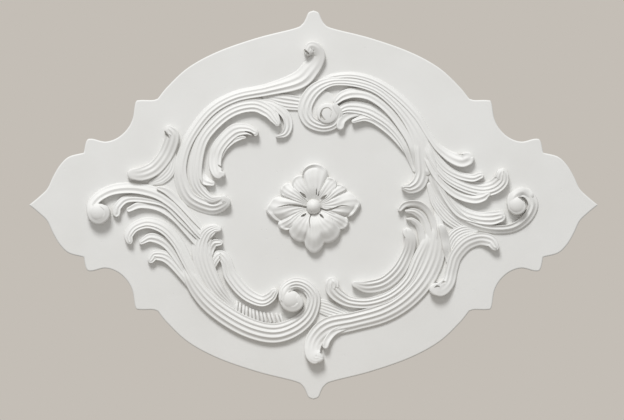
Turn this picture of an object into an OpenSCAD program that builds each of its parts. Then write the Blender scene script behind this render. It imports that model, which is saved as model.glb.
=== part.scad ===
// Ceiling rose in cast plaster: a shaped flat plate that carries two large C scrolls,
// sprays of fluted leaf fronds, volutes and a four-petal rosette, all cast as one piece.
// It stands upright, as it is shown: the relief faces the front, -Y, and its top is +Z.
// The origin is the middle of the flat back, which is the face fixed to the ceiling, at y = 0.
// The sub-parts are drawn lying down, with the back at z = 0 and the relief rising, and turned up once.

/* [Plate] */
// Length over the two side points
rose_l = 1000; // [850:10:1200]
// Width over the top and bottom points
rose_w = 684; // [580:2:820]
// Thickness of the plate
plate_t = 14; // [10:1:24]

/* [Relief] */
// Height of the tallest knob above the plate's face
relief_h = 24; // [14:1:36]
// Depth of the flutes between the reeds of a frond
flute_d = 2.6; // [1:0.2:4]
// How far the relief is keyed into the plate
key_d = 2; // [1:0.5:4]
// Bare plate between the outermost volutes and the side points
side_margin = 98; // [90:1:120]
// Bare plate between the end knobs and the top and bottom points
end_margin = 56; // [50:1:80]

/* [Rosette] */
// Reach of the side petals from the middle
side_petal = 80; // [60:1:95]
// Reach of the top and bottom petals from the middle
end_petal = 78; // [60:1:95]
// Diameter of the centre button
button_d = 27; // [18:1:34]
// Height of the rosette at the button
button_h = 22; // [12:1:24]

/* [Hidden] */

// The layout below is drawn for this plate and these margins, and is scaled to the sizes above
DRAWN_L = 1000;
DRAWN_W = 684;
DRAWN_SIDE = 98;
DRAWN_END = 56;
plate_scale = [rose_l / DRAWN_L, rose_w / DRAWN_W];
scroll_scale = [
    (rose_l - 2 * side_margin) / (DRAWN_L - 2 * DRAWN_SIDE),
    (rose_w - 2 * end_margin) / (DRAWN_W - 2 * DRAWN_END)
];

// ---- Curves ----
function blend4(a, b, c, d, t) =
    0.5 * (2 * b + (c - a) * t + (2 * a - 5 * b + 4 * c - d) * t * t + (3 * b - a - 3 * c + d) * t * t * t);
function knot(p, i) =
    i < 0 ? 2 * p[0] - p[1] : i >= len(p) ? 2 * p[len(p) - 1] - p[len(p) - 2] : p[i];
function spline(p, steps) = [
    for (i = [0 : len(p) - 2], k = [0 : steps - 1])
        blend4(knot(p, i - 1), p[i], p[i + 1], knot(p, i + 2), k / steps),
    p[len(p) - 1]
];
function ease(t) = let (c = min(1, max(0, t))) c * c * (3 - 2 * c);
function backwards(p) = [for (i = [len(p) - 1 : -1 : 0]) p[i]];
function tail(p) = [for (i = [1 : 1 : len(p) - 1]) p[i]];
function scaled(p, s) = [for (q = p) [q[0] * s[0], q[1] * s[1]]];

// ---- Outline ----
// One quarter of the edge, from the top point to the side point, in three runs that meet at corners
TOP_RUN = [
    [0, 342], [9, 338], [14, 327], [20, 318], [34, 310.5], [99, 294], [168, 270], [220, 242], [256, 209],
    [274, 187]
];
STEP_RUN = [
    [274, 187], [283, 184.5], [305, 184.5], [313, 180], [318, 152], [328, 133], [345, 118], [366, 111.5],
    [389, 116.5], [399, 113], [404, 92]
];
SIDE_RUN = [[404, 92], [430, 85], [446, 70], [458, 50], [468, 29], [482, 15], [500, 0]];
OUTLINE_STEPS = 4;
quarter = concat(
    spline(TOP_RUN, OUTLINE_STEPS),
    tail(spline(STEP_RUN, OUTLINE_STEPS)),
    tail(spline(SIDE_RUN, OUTLINE_STEPS))
);
lower_quarter = scaled(backwards(quarter), [1, -1]);
right_half = concat(quarter, tail(lower_quarter));
left_half = scaled(backwards(right_half), [-1, 1]);
outline = scaled(concat(right_half, [for (i = [1 : len(left_half) - 2]) left_half[i]]), plate_scale);

// ---- Fronds ----
// Each frond: [flutes, height at its root, along its body, at its tip, stations from root to tip],
// and each station is [x, y, half width]. Heights are above the plate's face.
LEFT_SCROLL = [
    // outer band, from the curled lower end up to the top knob
    [3, 17, 10, 20, [[-157, 13, 5], [-155, 3, 9], [-180, -5, 12], [-218, 12, 12.5], [-234, 50, 12],
        [-230, 88, 10.5], [-213, 126, 10], [-180, 167, 10], [-137, 191, 10], [-80, 203, 11],
        [-27, 219, 16.5], [-3, 243, 16.5], [2, 270, 14]]],
    // inner band with its arched leaf tip
    [4, 15, 9, 15, [[-163, 12, 4], [-182, 11, 7.5], [-205, 34, 12.5], [-209, 70, 14], [-198, 115, 13.5],
        [-172, 148, 13.5], [-140, 170, 13.5], [-105, 177, 13.5], [-72, 169, 14], [-53, 146, 13],
        [-52, 130, 9], [-62, 122, 4]]],
    // small hook on the inner band
    [1, 6, 9, 11, [[-193, 75, 3], [-191, 55, 5], [-184, 41, 5.5], [-175, 35, 3]]],
    // inner small scroll
    [4, 15, 9, 16, [[-158, 52, 5], [-168, 53, 9], [-173, 72, 11], [-170, 95, 12], [-157, 115, 13.5],
        [-137, 129, 15], [-114, 131, 13.5], [-100, 126, 8.5]]],
    // small leaf outside the scroll
    [3, 14, 9, 14, [[-320, 56, 8], [-303, 54.5, 11], [-278, 64, 11.5], [-258, 83, 11.5], [-249, 105, 11.5],
        [-248, 125, 11], [-256, 133, 6.5]]]
];
LEFT_SPRAY = [
    // left volute and the small leaf above it
    [2, 6, 10, 17, [[-212, -42, 4], [-228, -18, 7], [-250, 5, 9], [-278, 22, 10], [-315, 30, 10],
        [-350, 29, 9.5], [-375, 16, 9], [-388, 3, 8], [-391, -8, 6]]],
    [1, 6, 9, 12, [[-208, -26, 3], [-232, 1, 6], [-256, 23, 6], [-272, 30, 3.5]]],
    // three double-tipped leaves, from the upper one to the lower one
    [2, 6, 9, 15, [[-232, -26, 4], [-260, 1, 6], [-296, 11, 7], [-327, 11, 7], [-343, -2, 7],
        [-346, -14, 7]]],
    [1, 6, 9, 12, [[-220, -50, 4], [-245, -22, 6], [-272, -5, 6], [-303, 0, 6], [-324, -8, 4.5]]],
    [3, 6, 10, 17, [[-180, -166, 4], [-204, -133, 8], [-222, -98, 9.5], [-240, -64, 10], [-263, -40, 10.5],
        [-290, -31, 10], [-313, -38, 9], [-324, -52, 8], [-323, -63, 6]]],
    [2, 6, 9, 12, [[-212, -140, 5], [-234, -99, 8], [-258, -68, 8.5], [-284, -57, 8], [-302, -65, 4.5]]],
    [3, 6, 9, 15, [[-205, -158, 5], [-232, -118, 9], [-256, -93, 10], [-277, -88, 9], [-285, -96, 6.5]]]
];
LOWER_LEFT = [
    // long sweep that winds up into the lower volute
    [4, 7, 11, 14, [[-228, -95, 5], [-215, -131, 12.5], [-190, -164, 16], [-155, -193, 17],
        [-112, -216, 17.5], [-70, -225, 17.5], [-35, -215, 16.5], [-9, -193, 14], [0, -163, 12],
        [-12, -144, 11], [-32, -137.5, 10.5], [-50, -147, 9], [-53, -163, 6]]],
    // leaf head with its second hook, and the leaf that runs down to the volute
    [4, 6, 9, 14, [[-140, -180, 5], [-172, -149, 12], [-195, -110, 14], [-203, -75, 13], [-193, -50, 11],
        [-178, -41, 8], [-167, -41, 4]]],
    [1, 6, 8, 12, [[-187, -103, 3], [-184, -78, 5], [-176, -66, 5.5], [-168, -69, 4]]],
    [3, 6, 10, 14, [[-178, -126, 5], [-176, -104, 7.5], [-165, -90, 7.5], [-154, -99, 8.5],
        [-145, -124, 11.5], [-120, -154, 11.5], [-89, -168, 10], [-69, -157, 7]]]
];
RIGHT_SCROLL = [
    // outer band, from its upper end down to the bottom knob, and the leaf tip beside the knob
    [4, 8, 10, 20, [[226, -38, 7], [218, -62, 17], [211, -98, 18], [192, -134, 18], [161, -167, 17.5],
        [122, -190, 17], [72, -204, 16.5], [28, -214, 18], [6, -235, 16.5], [3, -260, 14]]],
    [1, 7, 9, 13, [[62, -213, 5], [38, -222, 6], [25, -236, 6], [21, -247, 5.5]]],
    // inner band with its arched leaf tip
    [3, 6, 9, 15, [[196, -62, 9], [184, -92, 10], [167, -131, 9.5], [138, -158, 9.5], [100, -171.5, 9.3],
        [66, -170, 9.5], [41, -156, 12], [31, -138, 10.5], [42, -132, 4]]],
    // inner small scroll
    [3, 15, 9, 15, [[73, -139, 6], [95, -144, 11], [125, -137, 12], [150, -115, 12], [166, -84, 10.5],
        [168, -62, 9.5], [162, -49, 8]]],
    // three nested hooks at the upper end
    [1, 8, 11, 14, [[214, -70, 5], [209, -31, 5], [196, -4, 5], [176, 8, 5], [158, 5, 4.5], [150, -3, 4]]],
    [1, 8, 9, 12, [[200, -60, 6], [193, -27, 5.5], [178, -13, 4.5], [160, -10, 3]]],
    [1, 8, 9, 11, [[190, -60, 6], [184, -36, 5], [174, -26, 4], [165, -24, 2]]],
    // small leaf outside the scroll
    [3, 14, 9, 15, [[212, -150, 6], [224, -151, 8.5], [238, -138, 10.5], [243, -112, 11], [250, -90, 11.5],
        [268, -69, 12], [291, -60, 11.5], [310, -63, 11], [318, -73, 7.5]]]
];
UPPER_RIGHT = [
    // coil of the upper volute, which unwinds into the spray
    [3, 12, 12, 8, [[38, 146, 4], [16, 137, 8], [-8, 148, 11], [-15, 172, 12.5], [0, 200, 12], [30, 216, 8],
        [70, 217, 7], [110, 205, 7.5], [143, 179, 7], [170, 151, 7.5], [190, 121, 11], [203, 92, 12],
        [210, 74, 8]]],
    // leaves that turn out to the right, from the upper one to the lower one
    [1, 9, 11, 14, [[10, 216, 4], [35, 226, 4.5], [72, 228, 5], [110, 217, 5], [146, 193, 5.5],
        [180, 161, 6], [207, 127, 7], [228, 97, 9.5], [250, 84, 11.5], [269, 83, 9], [278, 87, 5.5]]],
    [2, 6, 9, 13, [[206, 98, 6], [227, 69, 7], [252, 54, 6.5], [282, 48.5, 6.5], [298, 55, 4]]],
    [4, 6, 10, 16, [[208, 84, 5], [230, 55, 9], [262, 36.5, 11], [296, 31, 11], [318, 35, 13],
        [330, 49, 12], [327, 60, 7]]],
    [2, 6, 11, 14, [[204, 80, 3], [222, 48, 7.5], [250, 23, 9], [280, 16, 9], [296, 19, 8], [303, 23, 5]]],
    // leaves that turn back to the volute's eye
    [2, 6, 11, 14, [[182, 72, 7], [173, 112, 9], [155, 142, 9], [130, 171, 9], [100, 192, 9], [72, 197, 9],
        [52, 192, 8.5], [40, 182, 5.5]]],
    [4, 6, 10, 12, [[166, 80, 3], [152, 111, 8.5], [130, 139, 12], [104, 159, 15.5], [80, 166, 18],
        [60, 166, 16], [48, 162, 10]]],
    [1, 9, 12, 14, [[80, 163, 6], [57, 154, 7], [48, 140, 6.5]]],
    [1, 8, 11, 13, [[98, 152, 4], [84, 153, 5.5], [73, 151, 5]]],
    // hooked lower end of the spray
    [3, 8, 10, 17, [[192, 98, 8], [190, 70, 11.5], [186, 49, 12.5], [174, 35, 13], [162, 31, 9]]],
    // right volute and the leaf inside it
    [2, 8, 10, 14, [[196, 98, 8], [207, 62, 11], [217, 30, 10.5], [243, -7, 9], [278, -34, 8],
        [318, -43, 8], [352, -40, 8.5], [376, -26, 9], [386, -3, 8.5], [376, 17, 8], [358, 19, 7],
        [348, 7, 5]]],
    [3, 6, 9, 13, [[214, 50, 4], [232, 21, 6], [260, -5, 9], [296, -18, 12], [326, -19, 11.5],
        [336, -16, 6]]]
];
FRONDS = concat(LEFT_SCROLL, LEFT_SPRAY, LOWER_LEFT, RIGHT_SCROLL, UPPER_RIGHT);

// A frond's ends are rounded: half widths beyond the last station, and the share of width and height there
NOSE_REACH = 0.8;
NOSE_WIDTH = 0.55;
NOSE_HEIGHT = 0.75;
ROOT_SHARE = 0.25;
TIP_SHARE = 0.35;

function heading(p, i) = let (
    a = p[max(0, i - 1)],
    b = p[min(len(p) - 1, i + 1)],
    d = [b[0] - a[0], b[1] - a[1]]
) d / norm(d);

function height(f, t) =
    f[2] + (f[1] - f[2]) * (1 - ease(t / ROOT_SHARE)) + (f[3] - f[2]) * ease((t - 1 + TIP_SHARE) / TIP_SHARE);

// Heights across a frond, from rim to rim: reeds with flutes between them
function section(flutes, w) = let (
    depth = min(flute_d, w / (flutes + 1))
) [for (k = [0 : 2 * flutes]) [-w + k * w / flutes, k % 2 == 0 ? 0 : -depth]];

// One ring of points: down the left wall, across the top and down the right wall
function ring(c, d, w, h, flutes) = let (
    side = [-d[1], d[0]],
    top = section(flutes, w),
    place = [for (s = top) [c[0] + side[0] * s[0], c[1] + side[1] * s[0], h + s[1]]],
    first = place[0],
    last = place[len(place) - 1]
) concat([[first[0], first[1], -key_d]], place, [[last[0], last[1], -key_d]]);

function nose(p, f, i, way) = let (
    d = heading(p, i),
    w = p[i][2],
    c = [p[i][0] + way * d[0] * w * NOSE_REACH, p[i][1] + way * d[1] * w * NOSE_REACH]
) ring(c, d, w * NOSE_WIDTH, NOSE_HEIGHT * (way > 0 ? f[3] : f[1]), f[0]);

function frond_rings(f) = let (
    p = [for (q = f[4]) [q[0] * scroll_scale[0], q[1] * scroll_scale[1], q[2]]],
    last = len(p) - 1
) concat(
    [nose(p, f, 0, -1)],
    [for (i = [0 : last]) ring(p[i], heading(p, i), p[i][2], height(f, i / last), f[0])],
    [nose(p, f, last, 1)]
);

// Skins a list of rings, all with the same number of points, into one closed body
module skin(rings) {
    n = len(rings[0]);
    m = len(rings);
    points = [for (r = rings) each r];
    walls = [
        for (i = [0 : m - 2], j = [0 : n - 1]) let (k = (j + 1) % n)
            each [[i * n + j, i * n + k, (i + 1) * n + k], [i * n + j, (i + 1) * n + k, (i + 1) * n + j]]
    ];
    front = [[for (j = [n - 1 : -1 : 0]) j]];
    rear = [[for (j = [0 : n - 1]) (m - 1) * n + j]];
    polyhedron(points, concat(walls, front, rear), convexity = 10);
}

// ---- Knobs and volute eyes ----
// Each: [x, y, radius, height]
KNOBS = [
    [-378, -13, 18, 24], [0, 273, 15.5, 24], [361, 1, 17, 24], [-38, -167, 20, 24], [4, -264, 16, 24],
    [22, 162, 18, 16], [162, -48, 9, 16]
];
KNOB_FACETS = 12;

module knob(k) {
    // a drum with a domed top
    drum_h = k[3] * 0.5;
    translate([k[0] * scroll_scale[0], k[1] * scroll_scale[1], 0]) {
        translate([0, 0, -key_d])
            cylinder(h = drum_h + key_d, r = k[2], $fn = KNOB_FACETS);
        translate([0, 0, drum_h])
            scale([1, 1, (k[3] - drum_h) / k[2]])
                sphere(r = k[2], $fn = KNOB_FACETS);
    }
}

// ---- Rosette ----
// How much further the fuller bottom petal reaches
LOW_PETAL_EXTRA = 4;
// Petals: [direction, reach, half spread in degrees, height at the crest]
PETALS = [
    [0, side_petal, 44, 15], [90, end_petal, 40, 15], [180, side_petal, 44, 15],
    [270, end_petal + LOW_PETAL_EXTRA, 44, 19]
];
ROSETTE_AT = [0, -3];
PETAL_ROOT = 8;
PETAL_ROWS = 4;
PETAL_COLUMNS = 10;

// A petal's edge: one long lobe in the middle and a shorter one on each side
function petal_reach(b) = 0.95 + 0.05 * cos(b * 500) - 0.12 * b * b - 0.42 * pow(b, 4);
function petal_height(a, b) = 0.35 + 0.65 * sin(min(1, a / 0.62) * 90) - 0.35 * ease((a - 0.62) / 0.38)
    + 0.08 * cos(b * 500) * a;

module petal(dir, reach, spread, crest) {
    rows = [for (i = [0 : PETAL_ROWS]) let (a = i / PETAL_ROWS) concat(
        [[0, 0, 0]],
        [for (j = [0 : PETAL_COLUMNS]) let (
            b = 2 * j / PETAL_COLUMNS - 1,
            r = PETAL_ROOT + a * (reach * petal_reach(b) - PETAL_ROOT)
        ) [r * cos(b * spread), r * sin(b * spread), crest * petal_height(a, b)]]
    )];
    rings = [for (row = rows) let (top = tail(row)) concat(
        [for (q = backwards(top)) [q[0], q[1], -key_d]], top
    )];
    rotate([0, 0, dir])
        skin(rings);
}

module rosette() {
    translate([ROSETTE_AT[0], ROSETTE_AT[1], 0]) {
        for (p = PETALS)
            petal(p[0], p[1], p[2], p[3]);
        knob([0, 0, button_d / 2, button_h]);
    }
}

// ---- The casting ----
module plate() {
    linear_extrude(height = plate_t)
        polygon(outline);
}

module ornament() {
    translate([0, 0, plate_t - key_d])
        resize([0, 0, relief_h + key_d])
            translate([0, 0, key_d]) {
                for (f = FRONDS)
                    skin(frond_rings(f));
                for (k = KNOBS)
                    knob(k);
                rosette();
            }
}

module ceiling_rose() {
    color([0.87, 0.87, 0.86])
        rotate([90, 0, 0]) {
            plate();
            ornament();
        }
}

ceiling_rose();
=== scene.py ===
import math
import random
from collections import namedtuple

import bmesh
import bpy
import numpy as np
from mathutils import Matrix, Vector
from mathutils.geometry import delaunay_2d_cdt


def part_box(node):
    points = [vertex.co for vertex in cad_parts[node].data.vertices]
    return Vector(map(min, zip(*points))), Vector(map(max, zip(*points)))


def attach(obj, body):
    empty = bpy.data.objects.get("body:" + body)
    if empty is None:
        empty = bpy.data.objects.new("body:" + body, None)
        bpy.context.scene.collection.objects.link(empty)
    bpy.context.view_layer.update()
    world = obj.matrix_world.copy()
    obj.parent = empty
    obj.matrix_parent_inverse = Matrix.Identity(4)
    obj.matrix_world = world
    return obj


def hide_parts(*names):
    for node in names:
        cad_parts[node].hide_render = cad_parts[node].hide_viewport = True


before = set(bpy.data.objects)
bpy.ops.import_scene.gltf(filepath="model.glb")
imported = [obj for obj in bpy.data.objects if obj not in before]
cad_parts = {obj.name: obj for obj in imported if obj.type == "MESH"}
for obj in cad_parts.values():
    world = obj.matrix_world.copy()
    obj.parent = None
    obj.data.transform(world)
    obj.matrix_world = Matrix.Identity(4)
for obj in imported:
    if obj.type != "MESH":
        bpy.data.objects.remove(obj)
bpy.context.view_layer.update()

# ---- Size and place ----
# The rose is drawn lying on its back, in millimetres: x along it, y towards its top point, and a height
# above the plate's face. DRAWN is its drawn length, depth and width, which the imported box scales.
NODE = "ceiling_rose"
DRAWN = np.array([1000.0, 38.0, 684.0])
PLATE = 14.0  # thickness of the plate
low, high = (np.array(corner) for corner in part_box(NODE))
SCALE = (high - low) / DRAWN
MIDDLE = np.array([(low[0] + high[0]) / 2, high[1], (low[2] + high[2]) / 2])
KEY = 3.0  # how far each carved form runs down into the plate


def placed(points):
    """Drawn millimetres to metres in the shared frame: the carved face looks along -Y and the top is +Z."""
    p = np.asarray(points, float)
    return MIDDLE + SCALE * np.column_stack([p[:, 0], -(PLATE + p[:, 2]), p[:, 1]])


def ease(t):
    t = np.clip(t, 0.0, 1.0)
    return t * t * (3 - 2 * t)


# ---- Curves ----
FINE = 24  # points between two stations before they are spaced out


def spline(points, steps):
    """A Catmull-Rom curve through the points."""
    p = np.array(points, float)
    p = np.vstack([2 * p[0] - p[1], p, 2 * p[-1] - p[-2]])
    t = (np.arange(steps) / steps)[:, None]
    runs = [
        0.5 * (2 * b + (c - a) * t + (2 * a - 5 * b + 4 * c - d) * t * t + (3 * b - a - 3 * c + d) * t ** 3)
        for a, b, c, d in zip(p, p[1:], p[2:], p[3:])
    ]
    return np.vstack(runs + [p[-2:-1]])


def headings(line):
    d = np.gradient(line[:, :2], axis=0)
    return d / np.linalg.norm(d, axis=1)[:, None]


def traced(stations, spacing, turning):
    """The curve through the stations, with points spacing apart, or closer where it turns.
    turning is the most that it turns between two points, in degrees."""
    fine = spline(stations, FINE)
    way = headings(fine)
    step = np.linalg.norm(np.diff(fine[:, :2], axis=0), axis=1)
    turn = np.arccos(np.clip((way[1:] * way[:-1]).sum(1), -1, 1))
    cost = np.concatenate([[0], np.cumsum(step / spacing + turn / math.radians(turning))])
    at = np.linspace(0, cost[-1], int(cost[-1]) + 2)
    return np.column_stack([np.interp(at, cost, column) for column in fine.T])


# ---- Meshes ----
def solid(name, points, faces):
    """A closed mesh object from drawn points, with its faces turned outwards."""
    mesh = bpy.data.meshes.new(name)
    mesh.from_pydata(placed(points).tolist(), [], faces)
    shell = bmesh.new()
    shell.from_mesh(mesh)
    bmesh.ops.recalc_face_normals(shell, faces=shell.faces)
    shell.to_mesh(mesh)
    shell.free()
    piece = bpy.data.objects.new(name, mesh)
    bpy.context.scene.collection.objects.link(piece)
    return piece


def skin(name, rings):
    """Joins rings of points, all of one length, into a closed body."""
    n = len(rings[0])
    faces = [
        (i * n + j, i * n + (j + 1) % n, (i + 1) * n + (j + 1) % n, (i + 1) * n + j)
        for i in range(len(rings) - 1) for j in range(n)
    ]
    faces.append(tuple(range(n - 1, -1, -1)))
    faces.append(tuple((len(rings) - 1) * n + j for j in range(n)))
    return solid(name, np.vstack(rings), faces)


# ---- Fronds ----
# A frond is one reeded band or leaf: the number of flutes across it, its height above the face at its root,
# along its body and at its tip, and its stations from root to tip, each with its place and half width.
# low is the edge that lies down on the face: 1 on the left of its run, -1 on the right, or a share of those.
# crown is how far both edges fall from the middle, or rise where it is less than 0.
# carving is the depth of the flutes.
Frond = namedtuple("Frond", "flutes root body tip stations low crown carving", defaults=(0, 0, 2.5))

LEFT_SCROLL = [
    # outer band, from the curled lower end up to the top knob
    Frond(3, 17, 10, 19, [(-157, 13, 5), (-155, 3, 9), (-180, -5, 12), (-218, 12, 12.5), (-234, 50, 12),
                          (-230, 88, 10.5), (-213, 126, 10), (-180, 167, 10), (-137, 191, 10),
                          (-80, 203, 11), (-27, 219, 16), (-5, 240, 16), (7, 259, 13.5), (4, 272, 12),
                          (-4, 276, 10.5), (-9, 270, 8)], low=1, crown=1.5),
    # inner band with its arched leaf tip
    Frond(4, 15, 11, 16, [(-163, 12, 4), (-182, 11, 7.5), (-205, 34, 12.5), (-209, 70, 14),
                          (-198, 115, 13.5), (-172, 148, 13.5), (-140, 170, 13.5), (-105, 177, 13.5),
                          (-80, 167, 13), (-68, 152, 9), (-63, 144, 6)], low=1),
    Frond(2, 4, 10, 11, [(-98, 184, 4), (-70, 176, 7), (-49, 158, 8), (-44, 139, 7.5), (-50, 125, 6),
                         (-64, 120, 2.5)], low=1, crown=-1.5),
    # small hook on the inner band
    Frond(2, 5, 9, 12, [(-206, 84, 5), (-201, 60, 8), (-191, 44, 8.5), (-178, 38, 5)], low=1),
    # inner small scroll, its lower lip and its curled foot
    Frond(3, 15, 10, 16, [(-160, 54, 5), (-168, 55, 9), (-173, 72, 11), (-170, 95, 12), (-157, 115, 12),
                          (-138, 131, 12), (-118, 133, 9.5), (-103, 127, 6.5)], low=1),
    Frond(2, 7, 9, 12, [(-164, 84, 5), (-157, 101, 7), (-143, 114, 7), (-128, 119, 5), (-121, 119, 3)],
          low=1),
    # small leaf outside the scroll
    Frond(3, 13, 7, 13, [(-317, 54, 10), (-300, 55, 12.5), (-280, 64, 13), (-263, 83, 13),
                         (-252, 105, 13), (-248, 122, 12), (-253, 131, 9)], crown=1, carving=1.8),
]

LEFT_SPRAY = [
    # left volute and the small leaf above it
    Frond(2, 4, 11, 18, [(-178, -74, 5), (-204, -46, 6), (-228, -18, 7), (-250, 5, 9), (-278, 22, 10),
                         (-315, 30, 10), (-350, 27.5, 9.5), (-374, 17, 9), (-387, 3, 8.5), (-388, -10, 8)],
          low=-1),
    Frond(1, 4, 8, 11, [(-184, -54, 3), (-208, -26, 5), (-232, 1, 6), (-256, 23, 6), (-272, 30, 3.5)],
          low=-1),
    # three double-tipped leaves, from the upper one to the lower one
    Frond(2, 4, 9, 12, [(-184, -76, 4), (-206, -52, 5), (-232, -26, 5), (-260, 1, 6), (-296, 11, 7),
                        (-327, 11, 7), (-343, -2, 7), (-346, -14, 7)], low=-1),
    Frond(1, 4, 8, 11, [(-192, -84, 4), (-220, -50, 5), (-245, -22, 6), (-272, -5, 6), (-303, 0, 6),
                        (-324, -8, 4.5)], low=-1),
    Frond(3, 4, 11, 13, [(-180, -166, 4), (-204, -133, 8), (-222, -98, 9.5), (-240, -64, 10),
                         (-263, -40, 10.5), (-290, -31, 10), (-313, -38, 9), (-324, -52, 8),
                         (-323, -63, 6)], low=-1),
    Frond(2, 4, 8, 11, [(-212, -140, 5), (-234, -99, 8), (-258, -68, 8.5), (-284, -57, 8),
                        (-302, -65, 4.5)], low=-1),
    Frond(3, 4, 9, 11, [(-205, -158, 5), (-232, -118, 9), (-256, -93, 10), (-277, -88, 9),
                        (-285, -96, 6.5)], low=-1),
]

LOWER_LEFT = [
    # long sweep that winds up into the lower volute
    Frond(4, 2.5, 11, 20, [(-230, -88, 4), (-216, -128, 12), (-190, -164, 16), (-155, -193, 17),
                           (-112, -216, 17.5), (-70, -225, 17.5), (-35, -215, 16.5), (-9, -193, 14),
                           (0, -163, 12), (-12, -144, 11), (-32, -137.5, 10.5), (-50, -147, 9),
                           (-54, -165, 7)], crown=3),
    # leaf head with its second hook, and the leaf that runs down to the volute
    Frond(5, 4, 10, 15, [(-140, -180, 5), (-170, -149, 14), (-190, -110, 17), (-197, -76, 17),
                         (-189, -52, 13), (-176, -42, 9), (-166, -42, 5)], low=1),
    Frond(2, 4, 9, 13, [(-184, -108, 4), (-182, -82, 7), (-175, -68, 7), (-164, -66, 5)]),
    Frond(3, 4, 11, 14, [(-182, -130, 5), (-178, -104, 8.5), (-166, -88, 9), (-154, -97, 9.5),
                         (-145, -124, 11.5), (-120, -154, 11.5), (-92, -168, 10), (-76, -162, 9),
                         (-69, -153, 7)], low=0.6),
]

RIGHT_SCROLL = [
    # outer band, from its upper end down to the bottom knob, and the leaf tip beside the knob
    Frond(4, 2, 11, 19, [(214, -6, 4), (219, -30, 9), (218, -60, 14), (211, -96, 18), (192, -134, 18),
                         (161, -167, 17.5), (122, -190, 17), (72, -204, 16.5), (28, -214, 18),
                         (5, -233, 16.5), (-2, -253, 14.5), (2, -266, 13), (9, -268, 9)],
          low=0.5, crown=1.5),
    Frond(1, 5, 8, 13, [(62, -213, 5), (38, -222, 6), (25, -236, 6), (21, -247, 5.5)]),
    # inner band with its arched leaf tip
    Frond(3, 2, 10, 15, [(210, -28, 6), (200, -60, 8), (185, -92, 10), (167, -131, 9.5), (138, -158, 9.5),
                         (100, -171.5, 9.3), (66, -170.5, 9.5), (46, -161, 11.5), (34, -149, 12),
                         (32.5, -138, 11.5)], crown=1.5),
    # inner small scroll
    Frond(3, 15, 10, 15, [(73, -139, 6), (95, -144, 11), (125, -137, 12), (150, -115, 12),
                          (166, -84, 10.5), (170, -62, 10), (165, -48, 8.5)], low=-0.8),
    # three nested hooks at the upper end
    Frond(1, 3, 11, 13, [(212, -92, 4), (212, -52, 6), (205, -18, 6), (190, -1, 6), (174, 3, 5.5),
                         (160, 0, 5), (152, -8, 4)], low=1),
    Frond(2, 3, 9, 11, [(204, -100, 4), (201, -56, 8), (193, -26, 7), (178, -12, 6), (163, -11, 3)], low=1),
    Frond(2, 3, 9, 11, [(193, -105, 4), (191, -64, 7), (185, -38, 6), (174, -27, 4.5), (165, -25, 2.5)],
          low=1),
    # small leaf outside the scroll
    Frond(3, 16, 9, 15, [(214, -148, 11), (225, -147, 13), (237, -135, 11.5), (243, -112, 11),
                         (250, -90, 11.5), (268, -69, 12), (291, -60, 11.5), (310, -63, 11),
                         (318, -73, 7.5)], low=-0.9, carving=1.6),
    # pointed leaf beside it
    Frond(1, 5, 11, 15, [(236, -98, 4), (234, -76, 7), (230, -55, 7.5), (225, -39, 6)], low=-0.8, carving=0),
]

UPPER_RIGHT = [
    # coil of the upper volute, which unwinds into the spray
    Frond(3, 14, 11, 8, [(38, 174, 5), (45, 159, 7), (36, 142, 8.5), (15, 137, 9), (-8, 148, 11),
                         (-15, 172, 12.5), (0, 200, 12), (30, 216, 8), (70, 216, 8), (110, 204, 8.5),
                         (143, 178, 9), (167, 150, 11), (184, 121, 14), (192, 92, 15), (200, 62, 10)],
          low=0.5),
    # leaves that turn out to the right, from the upper one to the lower one
    Frond(2, 3, 8, 14, [(10, 216, 4), (35, 226, 5), (72, 228, 5.5), (110, 217, 6), (146, 193, 6.5),
                        (180, 159, 6.5), (202, 124, 6), (216, 104, 6.5), (231, 91, 8.5), (246, 82, 10.5),
                        (260, 78, 12), (270, 81, 12)], low=1),
    Frond(2, 3, 8, 12, [(188, 140, 5), (208, 98, 6), (229, 69, 7), (252, 54, 7), (278, 47.5, 7),
                        (293, 52, 6)], low=1),
    Frond(4, 3, 10, 15, [(188, 130, 5), (208, 84, 8), (232, 53, 10), (262, 36, 12), (292, 28, 12.5),
                         (314, 31, 13.5), (328, 42, 13.5), (331, 54, 10.5)], low=1),
    Frond(2, 3, 11, 14, [(188, 110, 4), (206, 70, 7), (224, 44, 8.5), (250, 22, 9.5), (279, 12, 9.5),
                         (296, 14, 8.5), (305, 19, 5)], low=1),
    # leaves that turn back to the volute's eye
    Frond(2, 3, 12, 15, [(186, 60, 8), (176, 106, 10), (155, 141, 9.5), (130, 171, 9), (100, 192, 9),
                         (72, 197, 9), (52, 192, 8.5), (40, 182, 5.5)], low=-1),
    Frond(3, 3, 10, 12, [(178, 62, 5), (160, 110, 9), (136, 142, 11), (106, 163, 12), (82, 171, 11.5),
                         (60, 172, 10), (44, 165, 7)], low=-1),
    Frond(2, 3, 9, 13, [(176, 70, 3), (161, 98, 6), (139, 126, 8), (112, 147, 8), (92, 153, 6),
                        (78, 150, 4.5), (70, 147, 3.5)], low=-1),
    Frond(1, 6, 10, 13, [(98, 160, 4), (78, 161.5, 6), (61, 157, 6.5), (50, 148, 6.8), (47, 138.5, 7)],
          crown=1.5),
    # hooked lower end of the spray
    Frond(3, 3, 11, 16, [(180, 140, 5), (188, 108, 12), (190, 78, 12), (191, 54, 12.5), (184, 37, 12.5),
                         (171, 29, 9.5), (160, 30, 5.5)], low=1),
    # right volute and the leaf inside it
    Frond(2, 3, 10, 21, [(188, 130, 6), (204, 80, 9), (213, 40, 9), (232, 6, 9), (255, -20, 8.5),
                         (284, -36, 7.5), (318, -43, 7.5), (350, -40, 8), (374, -24, 9), (386, -1, 9),
                         (378, 18, 9), (362, 22, 8), (349, 14, 8), (346, 2, 7)], low=-1),
    Frond(3, 3, 10, 13, [(206, 84, 4), (220, 44, 7), (238, 12, 9.5), (260, -12, 11), (289, -22, 10.5),
                         (312, -23, 12), (327, -20, 10.5)], low=1),
]

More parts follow.
